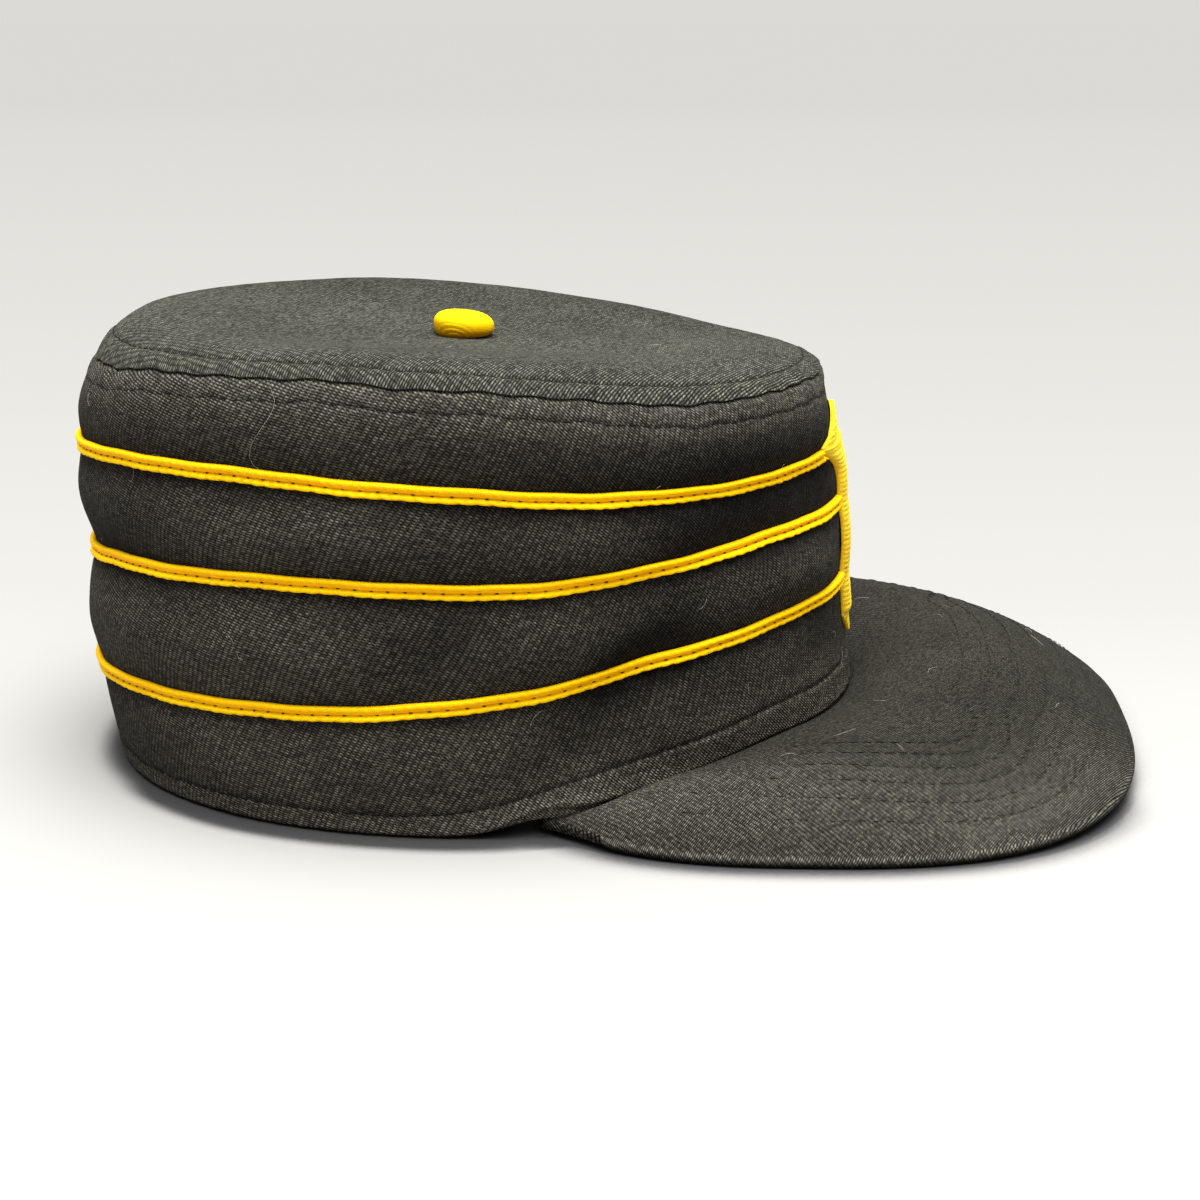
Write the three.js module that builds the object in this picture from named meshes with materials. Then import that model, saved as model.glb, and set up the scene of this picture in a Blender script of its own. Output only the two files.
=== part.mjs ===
// A flat-topped fitted cap at real size, resting on the floor as it does by itself.
// Millimetres. The crown stands on z = 0, the visor points along +x and +y is the wearer's left.
import * as THREE from 'three';

// Cloth and seams
const clothThick = 1.8;
const hemThick = 3.0;
const seamGap = 0.3;
const segmentsRound = 80;
const stepsPerBay = 3;

// The crown's wall, one row for each seam or braid from the rim up.
// front, back and half are the reach of the oval along +x, -x and y.
// heights are at the front, the front corner, the side, the back corner and the back; rimLift gives the rim's.
// swell is how far the cloth puffs out halfway to the next row.
const wallRows = [
  { name: 'rim', front: 98.5, back: 99.5, half: 84.5, swell: 2.4 },
  { name: 'lower', front: 96.0, back: 103.0, half: 83.5, heights: [46.5, 44.5, 33, 28, 24], swell: 3.0 },
  { name: 'middle', front: 95.0, back: 102.7, half: 83.0, heights: [67.5, 65.5, 61, 60, 53.5], swell: 2.8 },
  { name: 'upper', front: 93.0, back: 104.5, half: 82.5, heights: [82.5, 81.5, 84, 86.5, 83.5], swell: 2.0 },
  { name: 'seam', front: 91.0, back: 99.7, half: 82.0, heights: [99, 100.8, 107.5, 108.5, 108], swell: 0 },
];
const [rimRow, lowerRow, middleRow, upperRow] = wallRows;
const wallSquareness = 2.1;

// The stiff badge keeps the cloth behind it from puffing out
const frontHold = { share: 0.8, spread: 24 };

// The rim lies flat on the floor and lifts over the visor between these angles from the front
const rimLift = { height: 14, full: 36, none: 86 };

// Soft folds of the wall: a place, its spread, a lean in degrees for each millimetre up, and a depth outwards
const wallFolds = [
  { name: 'rightFrontHollow', angle: -42, height: 73, spread: 15, tall: 8, lean: 0.2, depth: -3.0 },
  { name: 'rightSlantFold', angle: -68, height: 36, spread: 7, tall: 20, lean: 0.55, depth: -2.6 },
  { name: 'rightBackSwell', angle: -128, height: 45, spread: 26, tall: 9, lean: 0, depth: 1.8 },
  { name: 'rightBackDent', angle: -152, height: 62, spread: 14, tall: 9, lean: 0, depth: -1.8 },
  { name: 'leftFrontHollow', angle: 48, height: 72, spread: 17, tall: 9, lean: -0.2, depth: -2.4 },
  { name: 'leftSlantFold', angle: 74, height: 34, spread: 8, tall: 18, lean: -0.5, depth: -2.0 },
  { name: 'leftBackSwell', angle: 132, height: 46, spread: 28, tall: 9, lean: 0, depth: 1.6 },
];

// The top panel: how far each ring lies in from the seam, and how far it rises above it
const panel = { centreX: -4.3, centreHeight: 106.4, meanRadius: 88 };
const panelOuterRings = [
  { inset: 0, rise: seamGap },
  { inset: 0.7, rise: 2.0 },
  { inset: 2.8, rise: 3.6 },
  { inset: 7, rise: 4.0 },
  { inset: 22, rise: 3.4 },
  { inset: 48, rise: 2.4 },
];
const panelInnerRings = [
  { inset: 48, rise: 0.6 },
  { inset: 22, rise: 1.6 },
  { inset: 7, rise: 2.2 },
  { inset: 3.4, rise: 1.6 },
  { inset: 2.0, rise: seamGap },
];
const panelTopRise = 2.2;

// The visor: a board covered in cloth, from the rim out to a rounded edge
const visor = {
  thick: 3.2,
  gap: 0.45,
  innerAngle: 84,
  outerAngle: 118,
  centreX: 83,
  reach: 90,
  rear: 85,
  half: 100,
  squareness: 2.45,
  tipHeight: 4.5,
  edgePower: 1.7,
  swell: 13,
  cornerPower: 6,
  stepsRound: 40,
  stepsOut: 7,
};

// The three braids: a pair of cords side by side, as up and out from the wall
const braidSection = [
  { up: 1.7, out: seamGap },
  { up: 1.2, out: 2.0 },
  { up: 0, out: 1.4 },
  { up: -1.2, out: 2.0 },
  { up: -1.7, out: seamGap },
];
const braidEndAngle = 0.02;

// The badge: a plain tapered patch of raised stitching at the front
const badge = { bottom: 29, top: 91, half: 16, widest: 0.85, tip: 0.9, edge: 1.4, proud: 2.3, gap: 0.5, bow: 0.9 };
const badgeColumns = 5;
const badgeRows = 12;

// The button, as radius and height above the panel
const buttonX = -4;
const buttonGap = 0.4;
const buttonProfile = [[0, 0], [7.6, 0], [8.1, 1.4], [7.5, 3.6], [5.4, 5.5], [2.6, 6.4], [0, 6.6]];
const buttonSegments = 24;

const charcoalCloth = { color: 0x2b2a26, roughness: 0.95, metalness: 0 };
const visorCloth = { color: 0x33322d, roughness: 0.95, metalness: 0 };
const yellowBraid = { color: 0xe8a516, roughness: 0.7, metalness: 0 };
const yellowSatin = { color: 0xf2b91c, roughness: 0.55, metalness: 0 };

const degrees = THREE.MathUtils.degToRad;
const lerp = THREE.MathUtils.lerp;
const smoothstep = THREE.MathUtils.smoothstep;

// A sine or cosine of an oval whose corners are a little squarer than an ellipse's
function squared(value, squareness) {
  return Math.sign(value) * Math.abs(value) ** (2 / squareness);
}

// The rim's height, flat at the back and lifted over the visor
function rimHeight(angle) {
  const fromFront = Math.abs(THREE.MathUtils.radToDeg(angle));
  return rimLift.height * (1 - smoothstep(fromFront, rimLift.full, rimLift.none));
}

// A row's height: the cosine series that passes through its five stations
function rowHeight(row, angle) {
  if (row === rimRow) return rimHeight(angle);
  const last = row.heights.length - 1;
  const share = (index) => (index === 0 || index === last ? 0.5 : 1);
  let height = 0;
  for (let wave = 0; wave <= last; wave += 1) {
    let strength = 0;
    row.heights.forEach((value, station) => {
      strength += share(station) * value * Math.cos((wave * station * Math.PI) / last);
    });
    height += share(wave) * strength * (2 / last) * Math.cos(wave * angle);
  }
  return height;
}

// How far the folds push the cloth out at an angle and height
function foldDepth(angle, height) {
  let depth = 0;
  for (const fold of wallFolds) {
    const up = height - fold.height;
    const around = THREE.MathUtils.radToDeg(angle) - fold.angle - fold.lean * up;
    depth += fold.depth * Math.exp(-((around / fold.spread) ** 2) - (up / fold.tall) ** 2);
  }
  return depth;
}

// A point of the wall at a share of the way from one row to the next, pushed out by some millimetres
function bayPoint(angle, bay, share, out) {
  const below = wallRows[bay];
  const above = wallRows[bay + 1];
  const cos = Math.cos(angle);
  const sin = Math.sin(angle);
  const reach = (row) => (cos > 0 ? row.front : row.back);
  const alongX = lerp(reach(below), reach(above), share);
  const alongY = lerp(below.half, above.half, share);
  const height = lerp(rowHeight(below, angle), rowHeight(above, angle), share);
  const normal = new THREE.Vector2(cos / alongX, sin / alongY).normalize();
  const held = frontHold.share * Math.exp(-((angle / degrees(frontHold.spread)) ** 2));
  const swell = below.swell * Math.sin(Math.PI * share) * (1 - held);
  const push = out + swell + foldDepth(angle, height);
  const x = alongX * squared(cos, wallSquareness) + normal.x * push;
  const y = alongY * squared(sin, wallSquareness) + normal.y * push;
  return new THREE.Vector3(x, y, height);
}

// A point of the wall at a given height
function wallPoint(angle, height, out) {
  let bay = 0;
  while (bay < wallRows.length - 2 && height > rowHeight(wallRows[bay + 1], angle)) bay += 1;
  const low = rowHeight(wallRows[bay], angle);
  const high = rowHeight(wallRows[bay + 1], angle);
  return bayPoint(angle, bay, (height - low) / (high - low), out);
}

// Faces between rings of points. The first and last rings are joined, or closed by a point or a flat cap.
function ringsGeometry(rings, { startPoint, endPoint, joined = false } = {}) {
  const count = rings[0].length;
  const points = rings.flat();
  const faces = [];
  const bands = joined ? rings.length : rings.length - 1;
  for (let ring = 0; ring < bands; ring += 1) {
    const here = ring * count;
    const there = ((ring + 1) % rings.length) * count;
    for (let side = 0; side < count; side += 1) {
      const next = (side + 1) % count;
      faces.push(here + side, here + next, there + next, here + side, there + next, there + side);
    }
  }
  if (!joined) {
    const lastRing = (rings.length - 1) * count;
    const first = startPoint ? points.push(startPoint) - 1 : 0;
    const last = endPoint ? points.push(endPoint) - 1 : lastRing;
    for (let side = 0; side < count; side += 1) {
      const next = (side + 1) % count;
      if (startPoint || (side > 0 && next > 0)) faces.push(first, next, side);
      if (endPoint || (side > 0 && next > 0)) faces.push(last, lastRing + side, lastRing + next);
    }
  }
  const geometry = new THREE.BufferGeometry().setFromPoints(points);
  geometry.setIndex(faces);
  geometry.computeVertexNormals();
  return geometry;
}

const roundAngles = Array.from({ length: segmentsRound }, (_, index) => {
  return -Math.PI + (2 * Math.PI * index) / segmentsRound;
});

// The wall: outer rings from the rim up, then inner rings back down to the thicker hem, open below
function crownSide() {
  const levels = [];
  for (let bay = 0; bay < wallRows.length - 1; bay += 1) {
    for (let step = 0; step < stepsPerBay; step += 1) levels.push({ bay, share: step / stepsPerBay });
  }
  levels.push({ bay: wallRows.length - 2, share: 1 });
  const ringAt = ({ bay, share }, inwards) => {
    return roundAngles.map((angle) => {
      const aboveHem = bay > 0 ? 1 : Math.min(1, share * stepsPerBay);
      const thick = lerp(hemThick, clothThick, aboveHem);
      return bayPoint(angle, bay, share, inwards ? -thick : 0);
    });
  };
  const outerRings = levels.map((level) => ringAt(level, false));
  const innerRings = levels.toReversed().map((level) => ringAt(level, true));
  return ringsGeometry([...outerRings, ...innerRings], { joined: true });
}

// The top panel: a shallow lid whose edge rolls down to the seam
function crownTop() {
  const ringAt = ({ inset, rise }) => {
    const spread = 1 - inset / panel.meanRadius;
    return roundAngles.map((angle) => {
      const edge = bayPoint(angle, wallRows.length - 2, 1, 0);
      const base = lerp(panel.centreHeight, edge.z, spread);
      return new THREE.Vector3(lerp(panel.centreX, edge.x, spread), edge.y * spread, base + rise);
    });
  };
  const centre = (rise) => new THREE.Vector3(panel.centreX, 0, panel.centreHeight + rise);
  const rings = [...panelInnerRings, ...panelOuterRings].map(ringAt);
  return ringsGeometry(rings, {
    startPoint: centre(panelTopRise - clothThick),
    endPoint: centre(panelTopRise),
  });
}

// The visor's outer edge, from one corner (-1) through the tip (0) to the other (1)
function visorEdge(along) {
  const angle = degrees(visor.outerAngle) * along;
  const across = squared(Math.sin(angle), visor.squareness);
  const ahead = squared(Math.cos(angle), visor.squareness);
  const x = visor.centreX + (ahead > 0 ? visor.reach : visor.rear) * ahead;
  const z = visor.tipHeight * (1 - Math.abs(across) ** visor.edgePower);
  return new THREE.Vector3(x, visor.half * across, z);
}

// The visor: sections from the rim out to the edge, arched so that both sides come down to the floor
function visorBoard() {
  const sections = [];
  for (let step = 0; step <= visor.stepsRound; step += 1) {
    const along = (2 * step) / visor.stepsRound - 1;
    const angle = degrees(visor.innerAngle) * along;
    const inner = wallPoint(angle, rimHeight(angle) + visor.thick, visor.gap);
    const outer = visorEdge(along);
    const lower = [];
    const upper = [];
    for (let out = 0; out <= visor.stepsOut; out += 1) {
      const share = out / visor.stepsOut;
      const point = inner.clone().lerp(outer, share);
      const arch = visor.swell * 4 * share * (1 - share) * (1 - along ** visor.cornerPower);
      point.z = lerp(rimHeight(angle), outer.z, share) + arch;
      lower.push(point);
      upper.push(point.clone().setZ(point.z + visor.thick));
    }
    sections.push([...upper, ...lower.toReversed()]);
  }
  return ringsGeometry(sections);
}

// Half the badge's width at a height
function badgeHalf(height) {
  const share = THREE.MathUtils.clamp((height - badge.bottom) / (badge.top - badge.bottom), 0, 1);
  const taper = share < badge.widest ? share / badge.widest : (1 - share) / (1 - badge.widest);
  return badge.tip + (badge.half - badge.tip) * taper ** badge.bow;
}

// One braid, from one side of the badge round the back to the other
function braid(row) {
  const half = badgeHalf(rowHeight(row, 0)) + badge.gap;
  const start = Math.asin(half / row.half);
  const inner = roundAngles.map((angle) => angle + Math.PI).filter((angle) => {
    return angle > start + braidEndAngle && angle < 2 * Math.PI - start - braidEndAngle;
  });
  const angles = [start, ...inner, 2 * Math.PI - start].map((angle) => {
    return angle > Math.PI ? angle - 2 * Math.PI : angle;
  });
  const sections = angles.map((angle) => {
    return braidSection.map(({ up, out }) => wallPoint(angle, rowHeight(row, angle) + up, out));
  });
  return ringsGeometry(sections);
}

// The badge: rows of points across it, front and back
function frontBadge() {
  const sections = [];
  for (let row = 0; row <= badgeRows; row += 1) {
    const height = lerp(badge.bottom, badge.top, row / badgeRows);
    const half = badgeHalf(height);
    const face = [];
    const back = [];
    for (let column = 0; column < badgeColumns; column += 1) {
      const share = (2 * column) / (badgeColumns - 1) - 1;
      const angle = Math.asin((half * share) / rimRow.half);
      face.push(wallPoint(angle, height, lerp(badge.proud, badge.edge, share ** 2)));
      back.push(wallPoint(angle, height, seamGap));
    }
    sections.push([...face, ...back.toReversed()]);
  }
  return ringsGeometry(sections);
}

function topButton() {
  const profile = buttonProfile.map(([radius, height]) => new THREE.Vector2(radius, height));
  return new THREE.LatheGeometry(profile, buttonSegments).rotateX(Math.PI / 2);
}

const cap = new THREE.Group();

function addPiece(name, geometry, look) {
  const mesh = new THREE.Mesh(geometry, new THREE.MeshStandardMaterial(look));
  mesh.name = name;
  cap.add(mesh);
  return mesh;
}

addPiece('crown_side', crownSide(), charcoalCloth);
addPiece('crown_top', crownTop(), charcoalCloth);
addPiece('visor', visorBoard(), visorCloth);
addPiece('braid_upper', braid(upperRow), yellowBraid);
addPiece('braid_middle', braid(middleRow), yellowBraid);
addPiece('braid_lower', braid(lowerRow), yellowBraid);
addPiece('front_badge', frontBadge(), yellowSatin);
const button = addPiece('top_button', topButton(), yellowSatin);
button.position.set(buttonX, 0, panel.centreHeight + panelTopRise + buttonGap);

// The cap stands over the middle of its own outline
const middle = new THREE.Box3().setFromObject(cap).getCenter(new THREE.Vector3());
cap.position.set(-middle.x, -middle.y, 0);

export default cap;
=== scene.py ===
import math

import bpy
import numpy as np
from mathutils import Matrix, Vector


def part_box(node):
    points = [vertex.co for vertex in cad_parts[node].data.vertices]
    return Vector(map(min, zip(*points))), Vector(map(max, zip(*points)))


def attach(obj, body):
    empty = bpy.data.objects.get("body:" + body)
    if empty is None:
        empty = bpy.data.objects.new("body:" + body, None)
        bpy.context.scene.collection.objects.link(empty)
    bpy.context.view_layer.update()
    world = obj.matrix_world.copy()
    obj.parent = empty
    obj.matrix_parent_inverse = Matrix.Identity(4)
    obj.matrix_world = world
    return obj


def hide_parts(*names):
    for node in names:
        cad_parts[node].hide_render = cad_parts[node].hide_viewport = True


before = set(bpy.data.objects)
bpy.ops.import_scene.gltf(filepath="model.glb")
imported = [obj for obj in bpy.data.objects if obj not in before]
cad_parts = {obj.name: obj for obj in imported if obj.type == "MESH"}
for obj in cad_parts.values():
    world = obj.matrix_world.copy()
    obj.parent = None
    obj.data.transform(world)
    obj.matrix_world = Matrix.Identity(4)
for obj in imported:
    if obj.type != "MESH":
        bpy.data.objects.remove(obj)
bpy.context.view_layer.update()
mm = 0.001  # sizes below are in millimetres, measured from the crown's axis on the floor
seed = np.random.default_rng(11)

# the crown's wall: one entry for each row from the rim up (rim, lower, middle, upper braid, top seam)
wall = dict(
    front=[98.5, 96.0, 95.0, 93.0, 89.5],  # reach of the oval along +x
    back=[98.5, 103.0, 102.7, 104.5, 100.2],  # reach along -x
    half=[84.5, 83.5, 83.0, 82.5, 78.5],  # reach along y
    swell=[2.6, 3.0, 2.8, 3.0],  # puff of the cloth halfway up each bay
    heights=[  # at the front, front corner, side, back corner and back
        [47.3, 45.5, 33.0, 28.2, 25.0],
        [68.2, 66.8, 60.6, 60.0, 55.0],
        [82.5, 81.5, 84.0, 86.5, 83.5],
        [101.5, 100.9, 107.5, 109.2, 105.6],
    ],
    squareness=2.1,
    seamTwist=1.2,  # the seam sits higher at the right front and left back than at the other corners
    seamWave=0.45,
    seamDip=1.3,  # a small sag of the seam at the right front
    seamDipAngle=-54.0,
    seamDipSpread=5.5,
    middleLift=1.3,  # the middle braid rides a little higher at the right back
    middleLiftAngle=-106.0,
    middleLiftSpread=15.0,
    rimLift=14.0,  # the rim rises this far over the visor
    liftFull=36.0,  # degrees from the front
    liftNone=92.0,
    cornerLift=2.5,  # a further lift where the visor's corners tuck under
    cornerAngle=80.0,
    cornerSpread=6.0,
    holdShare=0.8,  # the stiff badge keeps the front from puffing
    holdSpread=24.0,
    cloth=1.8,
    hem=3.0,
)
# folds of the wall: angle, height, spread in degrees, tallness, lean in degrees per mm, depth outwards
wallFolds = [
    (-42, 73, 15, 8, 0.20, -3.0),  # hollow at the right front
    (-22, 77, 10, 7, 0.00, -1.6),
    (-68, 36, 7, 20, 0.55, -2.6),  # slanting fold on the right
    (-128, 45, 26, 9, 0.00, 1.8),  # swell at the right back
    (-152, 62, 14, 9, 0.00, -1.8),  # dent at the right back
    (-110, 72, 14, 8, 0.00, 1.2),
    (-73, 71, 9, 7, 0.00, 1.0),
    (-93, 46, 6, 11, 0.40, -1.5),
    (-64, 53, 8, 8, 0.00, -1.7),
    (-30, 57, 9, 7, 0.00, 1.0),
    (-55, 24, 9, 7, -0.40, 1.0),
    (-20, 36, 12, 6, 0.00, -1.2),
    (180, 13, 45, 9, 0.00, -2.4),  # drawn in above the rim at the back
    (48, 72, 17, 9, -0.20, -2.4),
    (74, 34, 8, 18, -0.50, -2.0),
    (132, 46, 28, 9, 0.00, 1.6),
]
visor = dict(
    thick=3.2, seat=0.4, innerAngle=79.0, outerAngle=118.0, tipX=173.0, centreX=83.0, reach=89.1, rear=85.0,
    half=100.0, leftMore=2.0, leftFull=3.8, squareness=2.62, tipHeight=4.5, edgePower=1.7, swell=13.0,
)
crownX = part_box("visor")[1][0] / mm - visor["tipX"]  # the crown's axis in the part's frame


# smooth step from 0 at low to 1 at high; with low above high it falls instead
def smoothStep(value, low, high):
    share = np.clip((value - low) / (high - low), 0, 1)
    return share * share * (3 - 2 * share)


# half a sine wave from 0 to 1 and back to 0
def hump(share):
    return np.sin(np.pi * np.clip(share, 0, 1))


# a bell curve of the given width
def bell(value, width):
    return np.exp(-((value / width) ** 2))


# sine or cosine of a squarer oval: the sign times the size to the power 2/squareness
def squared(value, squareness):
    return np.sign(value) * np.abs(value) ** (2 / squareness)


# degrees from the front, on either side
def awayFromFront(angle):
    return np.abs(np.degrees(angle))


def unit(vectors):
    return vectors / (np.linalg.norm(vectors, axis=-1, keepdims=True) + 1e-12)


# the rim's height: flat on the floor, lifted over the visor
def rimHeight(angle):
    away = awayFromFront(angle)
    lift = wall["rimLift"] * (1 - smoothStep(away, wall["liftFull"], wall["liftNone"]))
    return lift + wall["cornerLift"] * bell(away - wall["cornerAngle"], wall["cornerSpread"])


# small waves and a sag of the top seam
def seamRipple(angle):
    wave = 0.55 * np.sin(13 * angle + 1.0) + 0.45 * np.sin(21 * angle + 2.4) + 0.5 * np.sin(49 * angle)
    dip = wall["seamDip"] * bell(np.degrees(angle) - wall["seamDipAngle"], wall["seamDipSpread"])
    return wall["seamWave"] * wave - dip


# heights of all five rows: the rim, then a cosine series through each row's five stations
def rowHeights(angle):
    rows = [rimHeight(angle)]
    stations = np.arange(5)
    ends = np.array([0.5, 1, 1, 1, 0.5])
    for heights in wall["heights"]:
        strengths = [np.sum(ends * heights * np.cos(wave * stations * np.pi / 4)) / 2 for wave in range(5)]
        rows.append(sum(ends[wave] * strengths[wave] * np.cos(wave * angle) for wave in range(5)))
    lifted = bell(np.degrees(angle) - wall["middleLiftAngle"], wall["middleLiftSpread"])
    rows[2] = rows[2] + wall["middleLift"] * lifted
    rows[4] = rows[4] - wall["seamTwist"] * np.sin(2 * angle) + seamRipple(angle)
    return rows


# how far the folds push the cloth: a sum of leaning bells
def foldDepth(angle, height):
    depth = np.zeros_like(height)
    for foldAngle, foldHeight, spread, tall, lean, push in wallFolds:
        up = height - foldHeight
        around = (np.degrees(angle) - foldAngle - lean * up + 180) % 360 - 180
        depth += push * bell(around, spread) * bell(up, tall)
    return depth


# a point of the wall: an oval between two rows, pushed out along its plan normal; level counts the rows up
def wallPoint(angle, level, out):
    angle, level, out = np.broadcast_arrays(angle, level, out)
    bay = np.clip(np.floor(level), 0, 3).astype(int)
    share = level - bay
    rows = rowHeights(angle)
    height = np.choose(bay, rows[:4]) * (1 - share) + np.choose(bay, rows[1:]) * share
    ahead = np.cos(angle)
    across = np.sin(angle)

    def between(column):
        values = np.array(column)
        return values[bay] * (1 - share) + values[bay + 1] * share

    alongX = np.where(ahead > 0, between(wall["front"]), between(wall["back"]))
    alongY = between(wall["half"])
    normalX = ahead / alongX
    normalY = across / alongY
    length = np.hypot(normalX, normalY)
    held = wall["holdShare"] * bell(np.degrees(angle), wall["holdSpread"])
    puff = np.array(wall["swell"])[bay] * np.sin(np.pi * share) * (1 - held)
    push = out + puff + foldDepth(angle, height)
    x = alongX * squared(ahead, wall["squareness"]) + push * normalX / length
    y = alongY * squared(across, wall["squareness"]) + push * normalY / length
    return np.stack([x, y, height], -1)


# the level at which the wall reaches a height
def levelAt(angle, height):
    rows = np.stack(np.broadcast_arrays(*rowHeights(angle)))
    bay = np.clip((height > rows[1:4]).sum(0), 0, 3)
    low = np.take_along_axis(rows, bay[None], 0)[0]
    high = np.take_along_axis(rows, bay[None] + 1, 0)[0]
    return bay + (height - low) / (high - low)


# distance round the crown for an angle, from the front, on an oval of middling size
arcAngles = np.linspace(-np.pi, np.pi, 2881)
arcOval = np.stack([98 * np.cos(arcAngles), 83.5 * np.sin(arcAngles)], -1)
arcLengths = np.concatenate([[0], np.cumsum(np.linalg.norm(np.diff(arcOval, axis=0), axis=1))])
arcLengths -= arcLengths[-1] / 2


def arcOf(angle):
    return np.interp(angle, arcAngles, arcLengths)


def angleOf(arc):
    return np.interp(arc, arcLengths, arcAngles)


# faces of a grid of points: each row is a closed ring, and the rows close too where asked
def gridCells(rows, cols, wrapRows=False):
    row = np.arange(rows if wrapRows else rows - 1)[:, None]
    col = np.arange(cols)[None, :]
    nextRow = (row + 1) % rows
    nextCol = (col + 1) % cols
    corners = [row * cols + col, row * cols + nextCol, nextRow * cols + nextCol, nextRow * cols + col]
    return np.stack(np.broadcast_arrays(*corners), -1).reshape(-1, 4)


# the same cells in the flat pattern, which has one more row or column where the mesh wraps
def gridFlat(flat):
    corners = [flat[:-1, :-1], flat[:-1, 1:], flat[1:, 1:], flat[1:, :-1]]
    return np.stack(corners, -2).reshape(-1, 4, 2)


# faces of equal tubes, one after the other: the cells round each and a cap at both its ends
def tubeFaces(count, rows, sides):
    cells = gridCells(rows, sides)
    ends = np.stack([np.arange(sides)[::-1], np.arange(sides) + (rows - 1) * sides])
    offsets = np.arange(count)[:, None, None] * rows * sides
    return (cells + offsets).reshape(-1, 4).tolist() + (ends + offsets).reshape(-1, sides).tolist()


# the flat pattern of one tube's faces, with a pattern of their own for its caps
def tubeFlat(flat, capFlat):
    around = np.concatenate([flat, flat[:, :1]], 1)
    return np.concatenate([gridFlat(around).reshape(-1, 2), capFlat[0, ::-1], capFlat[-1]])


# a finished piece from points, faces, the flat pattern of its corners and values for each point
def makePiece(name, points, faces, material, flat=None, values=None):
    mesh = bpy.data.meshes.new(name)
    placed = (points.reshape(-1, 3) + [crownX, 0, 0]) * mm
    mesh.from_pydata(placed.tolist(), [], faces if isinstance(faces, list) else faces.tolist())
    if flat is not None:
        layer = mesh.uv_layers.new(name="cloth")
        layer.data.foreach_set("uv", np.asarray(flat, np.float32).ravel() * mm)
    for key, value in (values or {}).items():
        attribute = mesh.attributes.new(key, "FLOAT", "POINT")
        attribute.data.foreach_set("value", np.asarray(value, np.float32).ravel())
    mesh.polygons.foreach_set("use_smooth", np.ones(len(mesh.polygons), bool))
    mesh.materials.append(material)
    mesh.update()
    piece = bpy.data.objects.new(name, mesh)
    bpy.context.collection.objects.link(piece)
    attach(piece, "root")
    print(name, "faces", len(mesh.polygons))
    return piece


def addNode(tree, kind, **settings):
    node = tree.nodes.new(kind)
    for key, value in settings.items():
        setattr(node, key, value)
    return node


def setInputs(node, values):
    for key, value in values.items():
        node.inputs[key].default_value = value


def connect(tree, source, target):
    tree.links.new(source, target)


def mathNode(tree, operation, first, second=None, third=None):
    node = addNode(tree, "ShaderNodeMath", operation=operation)
    for index, value in enumerate((first, second, third)):
        if value is None:
            continue
        if isinstance(value, (int, float)):
            node.inputs[index].default_value = value
        else:
            connect(tree, value, node.inputs[index])
    return node.outputs[0]


def mixColours(tree, share, first, second, blend="MIX"):
    node = addNode(tree, "ShaderNodeMix", data_type="RGBA", blend_type=blend)
    for socket, value in ((node.inputs[0], share), (node.inputs[6], first), (node.inputs[7], second)):
        if isinstance(value, (int, float)):
            socket.default_value = value
        elif isinstance(value, tuple):
            socket.default_value = (*value, 1)
        else:
            connect(tree, value, socket)
    return node.outputs[2]


def noiseNode(tree, vector, scale, detail=2.0, roughness=0.5):
    node = addNode(tree, "ShaderNodeTexNoise")
    setInputs(node, {"Scale": scale, "Detail": detail, "Roughness": roughness})
    connect(tree, vector, node.inputs["Vector"])
    return node.outputs["Fac"]


def stepNode(tree, value, low, high):
    node = addNode(tree, "ShaderNodeMapRange", interpolation_type="SMOOTHSTEP")
    connect(tree, value, node.inputs["Value"])
    setInputs(node, {"From Min": low, "From Max": high})
    return node.outputs["Result"]


def newMaterial(name, roughness, specular):
    material = bpy.data.materials.new(name)
    material.use_nodes = True
    shader = material.node_tree.nodes["Principled BSDF"]
    setInputs(shader, {"Roughness": roughness, "Specular IOR Level": specular})
    return material, material.node_tree, shader


# a rounded ridge: one minus the square of a share stretched over -1 to 1
def parabola(tree, share):
    stretched = mathNode(tree, "MULTIPLY_ADD", share, 2.0, -1.0)
    return mathNode(tree, "SUBTRACT", 1.0, mathNode(tree, "MULTIPLY", stretched, stretched))


# the twill: noise scales are per metre, slants are millimetres along the ridges for each one across them
twillLook = dict(
    wobble=160.0, jitter=520.0, fibre=2600.0, grit=1150.0, fleck=900.0, patch=26.0,
    waleWobble=0.6, waleJitter=0.15, ridgeDepth=0.42,
    pickShare=0.5, pickSlant=-0.23, crossSlant=0.32, pickJitter=0.3, pickDepth=0.92,
    dashScale=1.3, dashStretch=0.25, dashDepth=0.6, contrast=2.6,
)


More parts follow.
